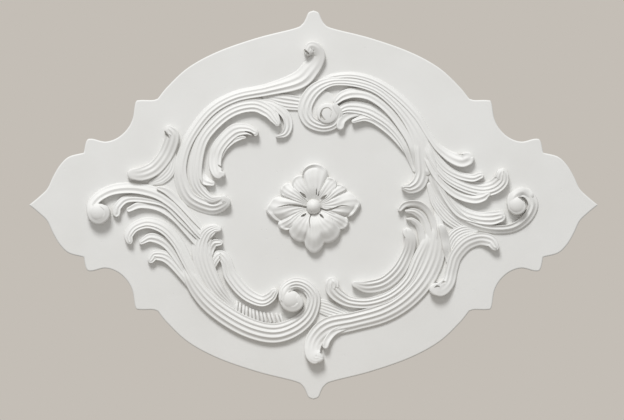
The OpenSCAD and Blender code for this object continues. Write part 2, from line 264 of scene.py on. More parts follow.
# Last turn of each volute, where its band swells into a knob.
TURNS = [
    Frond(2, 8, 20, 22, [(-374, 17, 8), (-387, 4, 9), (-389, -9, 9), (-385, -20, 9.5), (-376, -24, 10),
                         (-367, -18, 9.5), (-366, -9, 8), (-372, -3, 5)], crown=4, carving=0.8),
    Frond(2, 8, 20, 22, [(380, 16, 8), (366, 23, 8), (354, 18, 8.5), (349, 7, 9), (350, -3, 9.5),
                         (357, -8, 9.5), (364, -4, 8.5), (362, 3, 6)], crown=4, carving=0.8),
    Frond(2, 8, 20, 22, [(-22, -139, 9), (-40, -141, 9.5), (-50, -151, 9.5), (-51, -164, 10),
                         (-45, -175, 10), (-35, -178, 10), (-27, -172, 9.5), (-29, -163, 7)],
          crown=4, carving=0.8),
]

# Ribbed webs that fill the corners between the bands.
WEBS = [
    Frond(4, 3, 5, 4, [(-84, 189, 6), (-52, 182, 13), (-24, 178, 12)], carving=1.6),
    Frond(4, 2, 4, 3, [(-286, 38, 5), (-266, 47, 10), (-251, 64, 10), (-246, 90, 5)], carving=1.2),
    Frond(5, 3, 5, 3, [(204, 34, 6), (217, 4, 10), (240, -23, 12), (274, -46, 8)], carving=1.6),
    Frond(5, 3, 4.5, 3, [(284, -42, 8), (260, -47, 12), (244, -60, 12), (236, -82, 7)], carving=1.5),
    Frond(5, 2, 3.5, 2, [(-4, -172, 10), (26, -182, 13), (54, -192, 9)], carving=1.2),
]
FRONDS = LEFT_SCROLL + LEFT_SPRAY + LOWER_LEFT + RIGHT_SCROLL + UPPER_RIGHT + TURNS + WEBS

RING_STEP = 3.8  # millimetres between two rings
RING_TURN = 9  # most degrees between two rings
FLUTE_STEPS = 5  # faces across one flute
FLUTE_POWER = 1.6  # 1 is a V-shaped ridge, 2 a wave
FLUTE_START = 40.0  # millimetres over which the flutes come up out of the root
FLUTE_LEAD = 4.0  # how far behind the root they start
FLUTE_SHARE = 0.8  # deepest a flute is cut, as a share of its own half width
FLUTE_AT_LOW, FLUTE_GAIN = 0.45, 0.55  # depth at the edge that lies down, and how much more it is elsewhere
FLUTE_DRIFT = 0.14  # how far a hand-cut flute wanders from its even place, as a share of the half width
LOW_EDGE = 3.0  # height of an edge that lies down on the face
LEAST_HEIGHT = 1.2  # lowest that a flute or an edge may come to the face
ROOT_RISE, TIP_RISE = 45.0, 50.0  # millimetres over which a root and a tip come to the body's height
RISE_SHARE = 0.45  # of a short frond's length, at most
TIP_LEVEL = 0.8  # how far a low edge comes up to the middle's height at a tip
SHOULDER = 2.2  # radius of a frond's edge
SHOULDER_SHARE = 0.6  # of a narrow ring's half width, at most
TIP_SHOULDER = 0.42  # radius of the edge round its tip, as a share of the half width
SHOULDER_STEPS = np.array([0.0, 0.12, 0.36, 0.7])
NOSE_ANGLES = np.radians([18, 35, 51, 65, 77, 86])
TIGHTEST = 0.9  # most of the bend's own radius that the inner side may take

# Places where the flutes soften: where bands grow together, and ends that swell.
# Each is its place, its radius and the share of the depth that is lost at its middle.
CALM = [
    (-222, 75, 60, 0.55),
    (196, 100, 55, 0.55),
    (-205, -125, 50, 0.55),
    (202, -58, 40, 0.95),
    (3, 262, 26, 0.95),
    (3, -258, 27, 0.95),
    (164, -50, 24, 0.95),
    (220, -146, 18, 0.6),
]


def lift(t, length):
    """How near the frond is to its root's and its tip's own height: 0 along the body, 1 at that end."""
    root, tip = (min(rise / length, RISE_SHARE) for rise in (ROOT_RISE, TIP_RISE))
    return 1 - ease(t / root), ease((t - 1 + tip) / tip)


def across(half, radius, flutes):
    """Offsets across a ring, from one edge to the other: close together round both shoulders."""
    edge = radius * SHOULDER_STEPS
    inner = np.linspace(-(half - radius), half - radius, FLUTE_STEPS * flutes + 1)
    return np.concatenate([-half + edge, inner, (half - edge)[::-1]])


def frond_ring(f, centre, way, half, far, length, beyond, inner, depth, drift):
    """One ring of points across the frond. beyond is how far it lies past the end of the centre line, and
    inner is the side that the frond bends towards and how much that side is drawn in."""
    chord = math.sqrt(max(half * half - beyond * beyond, 0.0))
    n = across(chord, min(SHOULDER, SHOULDER_SHARE * chord), f.flutes)
    out = np.sqrt(n * n + beyond * beyond) / half  # 0 on the centre line, 1 at the edge
    signed = np.copysign(out, n)
    at_root, at_tip = lift(far / length, length)
    crest = f.body + (f.root - f.body) * at_root + (f.tip - f.body) * at_tip
    raised = max(at_root if f.root > f.body else 0.0, TIP_LEVEL * at_tip)
    rise = np.sin(math.pi / 4 * (1 - f.low * signed)) if f.low else np.ones_like(signed)
    fall = max(crest - LOW_EDGE, 0.0) * (1 - raised) * (1 - rise)
    fall = fall + f.crown * (1 - raised / 2) * signed ** 2
    place = signed + drift * (1 - signed ** 2)
    flute = np.abs(np.sin(math.pi * f.flutes * (place + 1) / 2)) ** FLUTE_POWER
    flute *= FLUTE_AT_LOW + FLUTE_GAIN * rise
    radius = SHOULDER + (max(SHOULDER, TIP_SHOULDER * half) - SHOULDER) * ease(beyond / half * 2)
    rim = np.clip(1 - (1 - out) * half / radius, 0, 1)
    top = np.maximum(crest - fall - depth * flute, LEAST_HEIGHT)
    top -= np.minimum(radius, crest) * (1 - np.sqrt(1 - rim * rim))
    n = np.where(n * inner[0] > 0, n * inner[1], n)
    side = np.array([-way[1], way[0]])
    flat = centre + way * beyond * (1 if far > 0 else -1) + n[:, None] * side
    ring = np.column_stack([flat, top])
    ends = ring[[0, -1]]
    ends[:, 2] = -KEY
    return np.vstack([ends[:1], ring, ends[1:]])


def frond(name, f, drift):
    """A frond as a closed body, with a round nose of rings past its root and its tip."""
    line = traced(f.stations, RING_STEP, RING_TURN)
    way = headings(line)
    step = np.linalg.norm(np.diff(line[:, :2], axis=0), axis=1)
    far = np.concatenate([[0], np.cumsum(step)])
    length = far[-1]
    angle = np.unwrap(np.arctan2(way[:, 1], way[:, 0]))
    bend = np.gradient(angle, far)
    rings = []
    for i, (x, y, half) in enumerate(line):
        depth = min(f.carving, FLUTE_SHARE * half / (f.flutes + 0.5))
        depth *= ease((far[i] + FLUTE_LEAD) / FLUTE_START)
        for u, v, radius, share in CALM:
            depth *= 1 - share * math.exp(-((x - u) ** 2 + (y - v) ** 2) / radius ** 2)
        tight = min(1.0, TIGHTEST / max(abs(bend[i]) * half, 1e-6))
        inner = (math.copysign(1, bend[i]), tight)
        ring = (f, np.array([x, y]), way[i], half, far[i], length)
        noses = half * np.sin(NOSE_ANGLES)
        if i == 0:
            rings += [frond_ring(*ring, b, (0, 1), depth, drift) for b in noses[::-1]]
        rings.append(frond_ring(*ring, 0.0, inner, depth, drift))
        if i == len(line) - 1:
            rings += [frond_ring(*ring, b, (0, 1), depth, drift) for b in noses]
    return skin(name, rings)


# ---- Knobs and volute eyes ----
# Each is its place, radius, height and the share of that height below its dome.
KNOBS = [
    (-377, -13, 15.5, 23, 0.68),
    (357, 0, 15, 23, 0.68),
    (-39, -166, 16, 23, 0.68),
    (24, 161, 18, 13.5, 0.8),
    (12, 172, 30, 4.5, 0.9),
]
BUTTON = (0, -3, 13.5, 22, 0.32)
KNOB_SIDES = 48
KNOB_RINGS = 9
DOME_END = math.radians(86)  # how far round the dome its last ring lies


def knob(name, x, y, radius, height, drum):
    turn = np.linspace(0, 2 * math.pi, KNOB_SIDES, endpoint=False)
    circle = np.column_stack([np.cos(turn), np.sin(turn)])
    profile = [(radius, -KEY)]
    for a in np.linspace(0, DOME_END, KNOB_RINGS):
        profile.append((radius * math.cos(a), height * (drum + (1 - drum) * math.sin(a))))
    rings = [np.column_stack([(x, y) + circle * r, np.full(KNOB_SIDES, h)]) for r, h in profile]
    return skin(name, rings)


# ---- Rosette ----
# Petal: its height at the crest and at the edge, the depth of the folds between its lobes, the depth of its
# veins, and its lobes.
Petal = namedtuple("Petal", "crest edge valley veins lobes")
# Lobe: its direction and half its spread in degrees, and its reach in millimetres.
# fall is how far it falls from its middle to its sides, or rises where it is less than 0.
# lip is the height of its turned-up edge, less than 0 for a lip on its clockwise side.
# point is 0 for a round end and 1 for a pointed one.
Lobe = namedtuple("Lobe", "direction reach spread fall lip point", defaults=(0,))
PETALS = [
    Petal(15, 12, 2.4, 0.8, [
        Lobe(54, 61, 19, -2, 0.8), Lobe(87.5, 76.5, 27, 1.5, 2.2), Lobe(120, 62, 20, -2, 0.8),
    ]),
    Petal(16, 10, 3, 1.3, [
        Lobe(148, 66, 20, 2, 0.8), Lobe(184, 84, 25, 1, 1.4, 1), Lobe(210, 70, 18, -2, 0.8),
    ]),
    Petal(21, 12, 0.5, 0.7, [
        Lobe(243, 67, 30, 1.2, 0), Lobe(271, 82, 19, 0.6, 0, 0.5), Lobe(300, 70, 30, 1.2, 0),
    ]),
    Petal(16, 10, 3, 1.3, [
        Lobe(-29, 69, 18, -2.5, 0.8), Lobe(4, 83, 26, 1, -1.6, 1), Lobe(31, 66, 18, 2, 0.8),
    ]),
]
PETAL_ROWS, PETAL_COLUMNS = 22, 70
ROW_BIAS = 0.85  # less than 1 sets the rows closer towards the tip
PETAL_ROOT = 9.0  # distance of a petal's root from the middle
LEAST_LENGTH = 12.0  # shortest that a petal may be at its sides
ROOT_HEIGHT = 5.0
LEAST_PETAL = 2.0  # lowest that a petal's surface may come to the face
WAIST = 0.86  # width of a petal at its root, as a share of its spread
WAIST_END = 0.75  # share of its reach at which it comes to its full spread
RISE_REACH = 36.0  # distance from the middle at which a petal has come up to its crest
TIP_SHARPNESS = 0.24  # share of its reach that a lobe loses towards its sides
POINTING = 0.9  # how much sharper a pointed lobe is than a round one
LOBE_CORNER = 10  # how square a lobe's sides are
VALLEY_WIDTH = 0.2  # width of the fold between two lobes, as a share of their reach
VEINS = 5  # in each lobe
VEIN_POWER = 1.3  # 1 is a V-shaped ridge, 2 a wave
VEIN_WAVE = 0.09  # how far the veins wander, as a share of a lobe's half spread
VEIN_TURNS = 6.5  # radians of that wave along a petal
VEIN_FADE = 0.35  # share of their depth that they lose by the tip
LIP_MIDDLE, LIP_SIDE = 0.6, 0.9  # how high the lip stands at a lobe's middle, and how much more on its side
FALL_RATE = 1.4  # more than 1 brings a lobe's sides to their own height before the tip
# Where each change of height starts along a petal, and how long it takes, as shares of its length.
DROOP_START, DROOP_RUN = 0.6, 0.4
FOLD_START, FOLD_RUN = 0.3, 0.5
LIP_START, LIP_RUN = 0.9, 0.05
RIM_START, RIM_RUN = 0.955, 0.045
DIP_MIDDLE, DIP_WIDTH = 0.89, 0.035
DIP_DEPTH = 0.9  # of the groove behind the lip, as a share of the lip's height
RIM_ROUNDING = 2.4


def lobe_reach(lobe, b):
    """How far the lobe reaches in the directions b, in degrees: 0 outside its spread."""
    v = np.clip(np.abs(b - lobe.direction) / lobe.spread, 0, 1)
    return lobe.reach * (1 - TIP_SHARPNESS * v ** (2 - POINTING * lobe.point)) * np.sqrt(1 - v ** LOBE_CORNER)


def petal_height(p, a, r, v, fall, fold, lip):
    """Heights across one row of a petal, at the share a of its length and distances r from the middle."""
    rise = np.clip((r - PETAL_ROOT) / (RISE_REACH - PETAL_ROOT), 0, 1)
    top = ROOT_HEIGHT + (p.crest - ROOT_HEIGHT) * np.sin(rise * math.pi / 2)
    top -= (p.crest - p.edge) * rise * float(ease((a - DROOP_START) / DROOP_RUN))
    top = top - fall * v ** 2 * ease(a * FALL_RATE) - p.valley * fold * ease((a - FOLD_START) / FOLD_RUN)
    place = v + VEIN_WAVE * math.sin(a * VEIN_TURNS) * (1 - v ** 2)
    vein = np.abs(np.sin(math.pi * VEINS * (place + 1) / 2)) ** VEIN_POWER
    top -= p.veins * vein * rise * (1 - VEIN_FADE * a)
    dip = DIP_DEPTH * math.exp(-((a - DIP_MIDDLE) / DIP_WIDTH) ** 2)
    top += lip * (float(ease((a - LIP_START) / LIP_RUN)) - dip)
    near_rim = min(1, max(0, (a - RIM_START) / RIM_RUN))
    top -= RIM_ROUNDING * (1 - math.sqrt(1 - near_rim ** 2))
    return np.maximum(top, LEAST_PETAL)


def grid_shell(n, m):
    """Faces that close two grids of m rows of n points, one over the other, with a wall round their rim."""
    upper = [
        (i * n + j, i * n + j + 1, (i + 1) * n + j + 1, (i + 1) * n + j)
        for i in range(m - 1) for j in range(n - 1)
    ]
    lower = [tuple(k + n * m for k in face[::-1]) for face in upper]
    rim = [j for j in range(n)] + [i * n + n - 1 for i in range(1, m)]
    rim += [(m - 1) * n + j for j in range(n - 2, -1, -1)] + [i * n for i in range(m - 2, 0, -1)]
    walls = [(k, after, after + n * m, k + n * m) for k, after in zip(rim, rim[1:] + rim[:1])]
    return upper + lower + walls


def petal(name, p):
    """One petal as a closed body. Each direction across it belongs to the lobe that reaches farthest."""
    lobes = p.lobes
    first = lobes[0].direction - lobes[0].spread
    last = lobes[-1].direction + lobes[-1].spread
    b = np.linspace(first, last, PETAL_COLUMNS + 1)
    middle = (b[0] + b[-1]) / 2
    reaches = np.array([lobe_reach(lobe, b) for lobe in lobes])
    owner = np.where(reaches.max(0) > 0, reaches.argmax(0), np.where(b < middle, 0, len(lobes) - 1))
    reach = np.maximum(reaches.max(0), PETAL_ROOT + LEAST_LENGTH)
    ordered = np.sort(reaches, axis=0)
    fold = np.exp(-((ordered[-1] - ordered[-2]) / (VALLEY_WIDTH * reach)) ** 2)
    v = np.clip([(x - lobes[k].direction) / lobes[k].spread for x, k in zip(b, owner)], -1, 1)
    fall = np.array([lobes[k].fall for k in owner])
    lip = np.array([
        abs(lobes[k].lip) * float(ease(LIP_MIDDLE + math.copysign(LIP_SIDE, lobes[k].lip) * u))
        for u, k in zip(v, owner)
    ])
    tops, floors = [], []
    for a in np.linspace(0, 1, PETAL_ROWS + 1) ** ROW_BIAS:
        turn = np.radians(middle + (b - middle) * (WAIST + (1 - WAIST) * ease(a / WAIST_END)))
        r = PETAL_ROOT + a * (reach - PETAL_ROOT)
        plan = np.column_stack([BUTTON[0] + r * np.cos(turn), BUTTON[1] + r * np.sin(turn)])
        tops.append(np.column_stack([plan, petal_height(p, a, r, v, fall, fold, lip)]))
        floors.append(np.column_stack([plan, np.full(len(b), -KEY)]))
    return solid(name, np.vstack(tops + floors), grid_shell(len(b), len(tops)))


# ---- Slits ----
# Stations of each cut, with its half width and its floor's height above the face.
SLITS = [
    # beside the knobs and in the volutes
    [(-19, 275, 1, 12), (-14, 270, 1.8, 8), (-8, 265, 1.4, 11)],
    [(358, 14, 0.8, 18), (366, 11, 2.4, 6), (373, 4, 2.6, 6), (375, -5, 0.8, 14)],
    [(-44, -153, 0.8, 18), (-30, -148, 2.8, 6), (-18, -155, 3.2, 5), (-14, -168, 1.5, 10)],
    [(12, -256, 0.8, 12), (15, -262, 1.5, 8)],
    [(-360, -3, 0.8, 20), (-367, 4, 1.4, 17), (-377, 3, 0.8, 20)],
    [(21, 149, 1, 11), (15, 153, 2.6, 5), (13, 160, 1.8, 8), (17, 168, 1.8, 10.5), (26, 170, 1.8, 11),
     (32, 163, 1.6, 11.5), (30, 154, 1.2, 12)],
    # leaf pivots and hooks
    [(-261, 130, 0.8, 9), (-257, 123, 1.8, 4), (-253, 118, 0.8, 7)],
    [(-103, 120, 1, 8), (-110, 126, 1.8, 6), (-120, 129, 0.8, 8)],
    [(-168, 71, 0.8, 10), (-163, 67, 1.5, 7), (-157, 65, 0.8, 8)],
    [(-200, 46, 0.6, 9), (-195, 36, 1.4, 6), (-184, 30, 1.3, 6), (-174, 31, 0.6, 9)],
    [(-168, 19, 0.6, 13), (-160, 22, 1.2, 10), (-152, 19, 0.6, 14)],
    [(-160, -50, 1, 9), (-174, -55, 2, 6), (-187, -66, 0.8, 9)],
    [(-170, -76, 0.8, 9), (-164, -84, 1.7, 6), (-162, -92, 1.2, 7), (-165, -102, 0.6, 9)],
    [(172, 52, 2.2, 4), (168, 46, 1.5, 6)],
    [(247, 93, 0.6, 7), (256, 89, 1.3, 6), (263, 89, 0.6, 10)],
    [(212, -145, 0.7, 14), (217, -142, 1.4, 10.5), (222, -144, 0.7, 14)],
    [(224, -139, 0.8, 13), (229, -135, 2.2, 8), (234, -139, 0.8, 13)],
    [(151, -50, 0.8, 8), (156, -54, 2.2, 5), (161, -58, 0.8, 10)],
    # long veins of the rosette
    [(-12, -4, 1.6, 2), (-28, -1, 1.6, 7), (-44, 0, 1.3, 10), (-64, -4, 0.7, 13)],
    [(12, -6, 1.6, 2), (24, -9, 1.6, 7), (38, -5, 1.4, 10), (50, -1, 1.1, 12), (68, -3, 0.6, 14)],
    [(-4, -16, 1.1, 6), (-7, -26, 1, 12), (-6, -40, 0.6, 16.5)],
    [(5, 29, 0.5, 11), (5, 18, 1, 6)],
    [(10, 24, 0.5, 11), (8, 16, 0.9, 6)],
    # hollows between the petals' roots
    [(-13, 13, 1, 7), (-17, 17, 2.4, 6), (-24, 23, 0.8, 10)],
    [(13, 10, 1, 7), (17, 13, 2.4, 6), (23, 18, 0.8, 10)],
    [(-13, -15, 1, 7), (-17, -18, 2, 6), (-22, -20, 0.8, 10)],
    [(11, -16, 1, 7), (14, -19, 2, 6), (18, -23, 0.8, 10)],
]
SLIT_TOP = 40.0  # height at which the cutting form ends, above all of the relief
SLIT_FLOOR = 0.35  # half width of the floor, as a share of the cut's half width
SLIT_SLOPE = 2.5  # height over which it opens to its full half width
SLIT_FLARE = 1.2  # half width at the top of the cutting form


def slit(name, stations):
    """The form that cuts one slit: a trough with sloping sides."""
    line = traced(stations, RING_STEP, RING_TURN * 2)
    rings = []
    for (x, y, half, floor), way in zip(line, headings(line)):
        side = np.array([-way[1], way[0]])
        profile = [(SLIT_FLOOR, floor), (1, floor + SLIT_SLOPE), (SLIT_FLARE, SLIT_TOP)]
        profile = [(-n, h) for n, h in profile[::-1]] + profile
        rings.append(np.array([(*(np.array([x, y]) + n * half * side), h) for n, h in profile]))
    return skin(name, rings)


# ---- Ribs ----
# A row of short leaning ribs along the upper edge of the long sweep.
RIB_LINE = [(-138, -176), (-112, -189.5), (-84, -197), (-52, -200)]
RIBS = 13
RIB_REACH = 6.5  # from a rib's middle to its ends
RIB_HALF = 2.6  # half width
RIB_HEIGHT = 5.6
RIB_LEAN = 0.45  # how far a rib leans back along the row, as a share of its reach


def ribs():
    line = spline(RIB_LINE, FINE)
    way = headings(line)
    made = []
    for k in range(RIBS):
        i = round((k + 0.5) / RIBS * (len(line) - 1))
        lean = np.array([-way[i][1], way[i][0]]) - RIB_LEAN * way[i]
        ends = [(*(line[i] + side * RIB_REACH * lean), RIB_HALF) for side in (1, 0, -1)]
        made.append(frond(f"rib_{k}", Frond(1, 3, RIB_HEIGHT, RIB_HEIGHT, ends, carving=0), 0))
    return made


# ---- Plate ----
# One quarter of the edge, from the top point to the side point, in three runs that meet at corners.
TOP_RUN = [(0, 342), (9, 338), (14, 327), (20, 318), (34, 310.5), (99, 294), (168, 270), (220, 242),
           (256, 209), (274, 187)]
STEP_RUN = [(274, 187), (283, 184.5), (305, 184.5), (313, 180), (318, 152), (328, 133), (345, 118),
            (366, 111.5), (389, 116.5), (399, 113), (404, 92)]
SIDE_RUN = [(404, 92), (430, 85), (446, 70), (458, 50), (468, 29), (482, 15), (500, 0)]
EDGE_STEP, EDGE_TURN = 6, 12  # millimetres and degrees between two points of the outline
EDGE_RADIUS = 2.4  # rounding of the front edge
EDGE_RINGS = 5
BACK_CHAMFER = 0.8
FIELD_PITCH = 24.0  # size of the faces that make the flat field and the back


def outline():
    """The whole edge, clockwise from the top point."""
    runs = [traced(run, EDGE_STEP, EDGE_TURN) for run in (TOP_RUN, STEP_RUN, SIDE_RUN)]
    quarter = np.vstack([runs[0], runs[1][1:], runs[2][1:]])
    right = np.vstack([quarter, (quarter * (1, -1))[-2::-1]])
    return np.vstack([right, (right * (-1, 1))[-2:0:-1]])


def inset(line, distance):
    """The closed line moved inwards. The line runs clockwise."""
    a, b = line - np.roll(line, 1, 0), np.roll(line, -1, 0) - line
    a /= np.linalg.norm(a, axis=1)[:, None]
    b /= np.linalg.norm(b, axis=1)[:, None]
    normal = a + b
    normal /= np.linalg.norm(normal, axis=1)[:, None]
    inward = np.column_stack([normal[:, 1], -normal[:, 0]])
    stretch = 1 / np.clip((normal * a).sum(1), 0.5, 1)
    return line + inward * (distance * stretch)[:, None]


def filled(line, pitch):
    """Triangles that fill the closed line, over an even grid of points. The line's own points come first."""
    lowest, highest = line.min(0), line.max(0)
    x, y = (np.arange(a + pitch / 2, b, pitch) for a, b in zip(lowest, highest))
    grid = np.array([(u, v + (i % 2) * pitch / 2) for i, u in enumerate(x) for v in y])
    near = np.array([np.linalg.norm(line - g, axis=1).min() for g in grid])
    start, end = line, np.roll(line, -1, 0)
    crosses = (start[:, 1] > grid[:, 1:2]) != (end[:, 1] > grid[:, 1:2])
    run = end - start
    with np.errstate(divide="ignore", invalid="ignore"):
        at = run[:, 0] * (grid[:, 1:2] - start[:, 1]) / run[:, 1] + start[:, 0]
    inside = (crosses & (grid[:, :1] < at)).sum(1) % 2 == 1
    points = np.vstack([line, grid[inside & (near > pitch / 3)]])
    n = len(line)
    rim = [(i, (i + 1) % n) for i in range(n)]
    made = delaunay_2d_cdt([Vector(q) for q in points], rim, [], 1, 1e-6)
    return points, made[2]


def plate():
    """The bare plate. Each level of its edge is how far it is set in, and its height above the face."""
    edge = outline()
    levels = [(BACK_CHAMFER, -PLATE), (0.0, -PLATE + BACK_CHAMFER)]
    for a in np.linspace(0, math.pi / 2, EDGE_RINGS):
        levels.append((EDGE_RADIUS * (1 - math.cos(a)), EDGE_RADIUS * (math.sin(a) - 1)))
    n, last = len(edge), len(levels) - 1
    points = [np.column_stack([inset(edge, d), np.full(n, h)]) for d, h in levels]
    faces = [
        (i * n + j, i * n + (j + 1) % n, (i + 1) * n + (j + 1) % n, (i + 1) * n + j)
        for i in range(last) for j in range(n)
    ]
    count = n * len(levels)
    for level, rim in ((0, 0), (last, last * n)):
        depth, height = levels[level]
        flat, triangles = filled(inset(edge, depth), FIELD_PITCH)
        points.append(np.column_stack([flat[n:], np.full(len(flat) - n, height)]))
        number = [rim + k if k < n else count + k - n for k in range(len(flat))]
        count += len(flat) - n
        for triangle in triangles:
            corners = [number[k] for k in triangle]
            faces.append(corners if level else corners[::-1])
    return solid("plate", np.vstack(points), faces)


# ---- One casting ----
def joined(body, forms, operation):
    """Joins the forms to the body, or cuts them out of it, as one closed mesh."""
    group = bpy.data.collections.new("forms")
    for form in forms:
        bpy.context.scene.collection.objects.unlink(form)
        group.objects.link(form)
    bpy.context.scene.collection.children.link(group)
    step = body.modifiers.new("step", "BOOLEAN")
    step.operation = operation
    step.operand_type = "COLLECTION"
    step.collection = group
    step.solver = "MANIFOLD"
    bpy.context.view_layer.update()
    made = bpy.data.meshes.new_from_object(body.evaluated_get(bpy.context.evaluated_depsgraph_get()))
    for form in forms:
        bpy.data.objects.remove(form)
    bpy.data.collections.remove(group)
    body.modifiers.clear()
    body.data = made
    return body


def unfold(piece):
    """Splits the many-cornered faces that a plain split into triangles would fold over."""
    mesh = piece.data
    mesh.calc_loop_triangles()
    folded = set()
    for triangle in mesh.loop_triangles:
        a, b, c = (mesh.vertices[i].co for i in triangle.vertices)
        if (b - a).cross(c - a).dot(mesh.polygons[triangle.polygon_index].normal) < 0:
            folded.add(triangle.polygon_index)
    shell = bmesh.new()
    shell.from_mesh(mesh)
    bmesh.ops.triangulate(shell, faces=[f for f in shell.faces if f.index in folded], ngon_method="BEAUTY")
    shell.to_mesh(mesh)
    shell.free()


SHARP_ANGLE = math.radians(38)
FLAT_NORMAL = 0.9999  # least share of a flat face's normal that points straight forwards or back
FLAT_SLACK = 1e-6  # metres that a flat face's middle may lie off its plane


def flat_faces(piece):
    """Shades the flat field and the back flat, and gives the numbers of the back's faces."""
    field = MIDDLE[1] - PLATE * SCALE[1]
    back = MIDDLE[1]
    found = []
    for face in piece.data.polygons:
        to_field, to_back = (abs(face.center.y - plane) for plane in (field, back))
        if abs(face.normal.y) > FLAT_NORMAL and min(to_field, to_back) < FLAT_SLACK:
            face.use_smooth = False
            if to_back < FLAT_SLACK:
                found.append(face.index)
    return found


chance = random.Random(7)
forms = [
    frond(f"frond_{i}", f, chance.uniform(-FLUTE_DRIFT, FLUTE_DRIFT))
    for i, f in enumerate(FRONDS)
]
forms += ribs()
forms += [petal(f"petal_{i}", p) for i, p in enumerate(PETALS)]
forms += [knob(f"knob_{i}", *k) for i, k in enumerate(KNOBS + [BUTTON])]
rose = joined(plate(), forms, "UNION")
cuts = [slit(f"slit_{i}", stations) for i, stations in enumerate(SLITS)]
rose = joined(rose, cuts, "DIFFERENCE")
unfold(rose)
rose.name = rose.data.name = "rose"
rose.data.shade_smooth()
rose.data.set_sharp_from_angle(angle=SHARP_ANGLE)
back_faces = flat_faces(rose)
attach(rose, "root")
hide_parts(NODE)

# ---- Plaster ----
# Shade Tone and Shade are the colour and strength of the painted shade in the hollows.
INPUT_SOCKETS = [
    ("Tone", "NodeSocketColor"), ("Cloud Tone", "NodeSocketColor"), ("Soil Tone", "NodeSocketColor"),
    ("Soil", "NodeSocketFloat"), ("Roughness", "NodeSocketFloat"), ("Unevenness", "NodeSocketFloat"),
    ("Grain", "NodeSocketFloat"), ("Pits", "NodeSocketFloat"),
]
OUTPUT_SOCKETS = [
    ("Color", "NodeSocketColor"), ("Roughness", "NodeSocketFloat"), ("Height", "NodeSocketFloat"),
]
# Scale and detail of each noise.
CLOUDS, SPECKLES, RUBBING, WAVES, GRAINS = (9, 4), (160, 3), (70, 3), (24, 2), (700, 2)
# Painted shade: hollows sheltered within this reach are darkened towards a warm brown.
SHADE_REACH = 0.012  # metres to the surfaces that shelter a hollow
PIT_SCALE = 110
BUMP_UNIT = 0.001  # metres for each unit of height


def add(tree, kind, inputs=(), **settings):
    """A shader node with its settings. Each named input is set to a value or linked to a socket."""
    made = tree.nodes.new(kind)
    for name, value in settings.items():
        setattr(made, name, value)
    for name, value in dict(inputs).items():
        if isinstance(value, bpy.types.NodeSocket):
            tree.links.new(value, made.inputs[name])
        else:
            made.inputs[name].default_value = value
    return made


def ranged(tree, value, low_in, high_in, low_out, high_out):
    ends = {"From Min": low_in, "From Max": high_in, "To Min": low_out, "To Max": high_out}
    return add(tree, "ShaderNodeMapRange", {"Value": value, **ends}).outputs["Result"]


def times(tree, a, b):
    return add(tree, "ShaderNodeMath", {0: a, 1: b}, operation="MULTIPLY").outputs[0]


def plus(tree, a, b):
    return add(tree, "ShaderNodeMath", {0: a, 1: b}, operation="ADD").outputs[0]


def blended(tree, share, a, b):
    """Two colours mixed. Sockets 6 and 7 take them and output 2 gives them mixed."""
    return add(tree, "ShaderNodeMix", {0: share, 6: a, 7: b}, data_type="RGBA").outputs[2]


def cast_surface():
    """The skin of cast plaster: cloudy tone, painted shade that darkens the hollows towards a warm brown, a
    hand-rubbed unevenness, fine grain and a few pits left by air. Heights are in millimetres."""
    tree = bpy.data.node_groups.new("cast_surface", "ShaderNodeTree")
    for name, kind in INPUT_SOCKETS:
        tree.interface.new_socket(name, in_out="INPUT", socket_type=kind)
    for name, kind in OUTPUT_SOCKETS:
        tree.interface.new_socket(name, in_out="OUTPUT", socket_type=kind)
    given = tree.nodes.new("NodeGroupInput").outputs
    place = tree.nodes.new("ShaderNodeTexCoord").outputs["Object"]

    def noise(scale, detail):
        return add(tree, "ShaderNodeTexNoise", {"Vector": place, "Scale": scale, "Detail": detail}).outputs[0]

    clouds = ranged(tree, noise(*CLOUDS), 0.38, 0.66, 0, 1)
    tone = blended(tree, clouds, given["Tone"], given["Cloud Tone"])
    # Painted shade: ambient occlusion finds the hollows, which are darkened towards the shade tone and broken
    # up by a speckle.
    open_sky = add(tree, "ShaderNodeAmbientOcclusion", {"Distance": SHADE_REACH}, samples=8).outputs["AO"]
    hollow = ranged(tree, open_sky, 0.75, 0.2, 0, 1)
    speckle = ranged(tree, noise(*SPECKLES), 0.3, 0.7, 0.55, 1)
    painted_shade = times(tree, times(tree, hollow, speckle), given["Soil"])
    tone = blended(tree, painted_shade, tone, given["Soil Tone"])
    rub = ranged(tree, noise(*RUBBING), 0.3, 0.7, -0.05, 0.06)
    wave = times(tree, noise(*WAVES), given["Unevenness"])
    grain = times(tree, noise(*GRAINS), given["Grain"])
    cells = add(tree, "ShaderNodeTexVoronoi", {"Vector": place, "Scale": PIT_SCALE})
    bubble = ranged(tree, cells.outputs["Distance"], 0.05, 0.13, 1, 0)
    chosen = add(tree, "ShaderNodeSeparateColor", {"Color": cells.outputs["Color"]}).outputs[0]
    some = ranged(tree, chosen, 0.86, 0.9, 0, -1)
    pits = times(tree, times(tree, bubble, some), given["Pits"])
    ends = {
        "Color": tone,
        "Roughness": plus(tree, given["Roughness"], rub),
        "Height": plus(tree, plus(tree, wave, grain), pits),
    }
    add(tree, "NodeGroupOutput", ends)
    return tree


def plaster_finish(name, surface, **values):
    """A plaster material: the shared surface with its own tones, roughness and heights."""
    finish = bpy.data.materials.new(name)
    finish.use_nodes = True
    tree = finish.node_tree
    shader = tree.nodes["Principled BSDF"]
    plaster = add(tree, "ShaderNodeGroup", node_tree=surface)
    for socket, value in values.items():
        plaster.inputs[socket.replace("_", " ")].default_value = value
    bump = add(tree, "ShaderNodeBump", {"Height": plaster.outputs["Height"], "Distance": BUMP_UNIT})
    tree.links.new(plaster.outputs["Color"], shader.inputs["Base Color"])
    tree.links.new(plaster.outputs["Roughness"], shader.inputs["Roughness"])
    tree.links.new(bump.outputs["Normal"], shader.inputs["Normal"])
    return finish
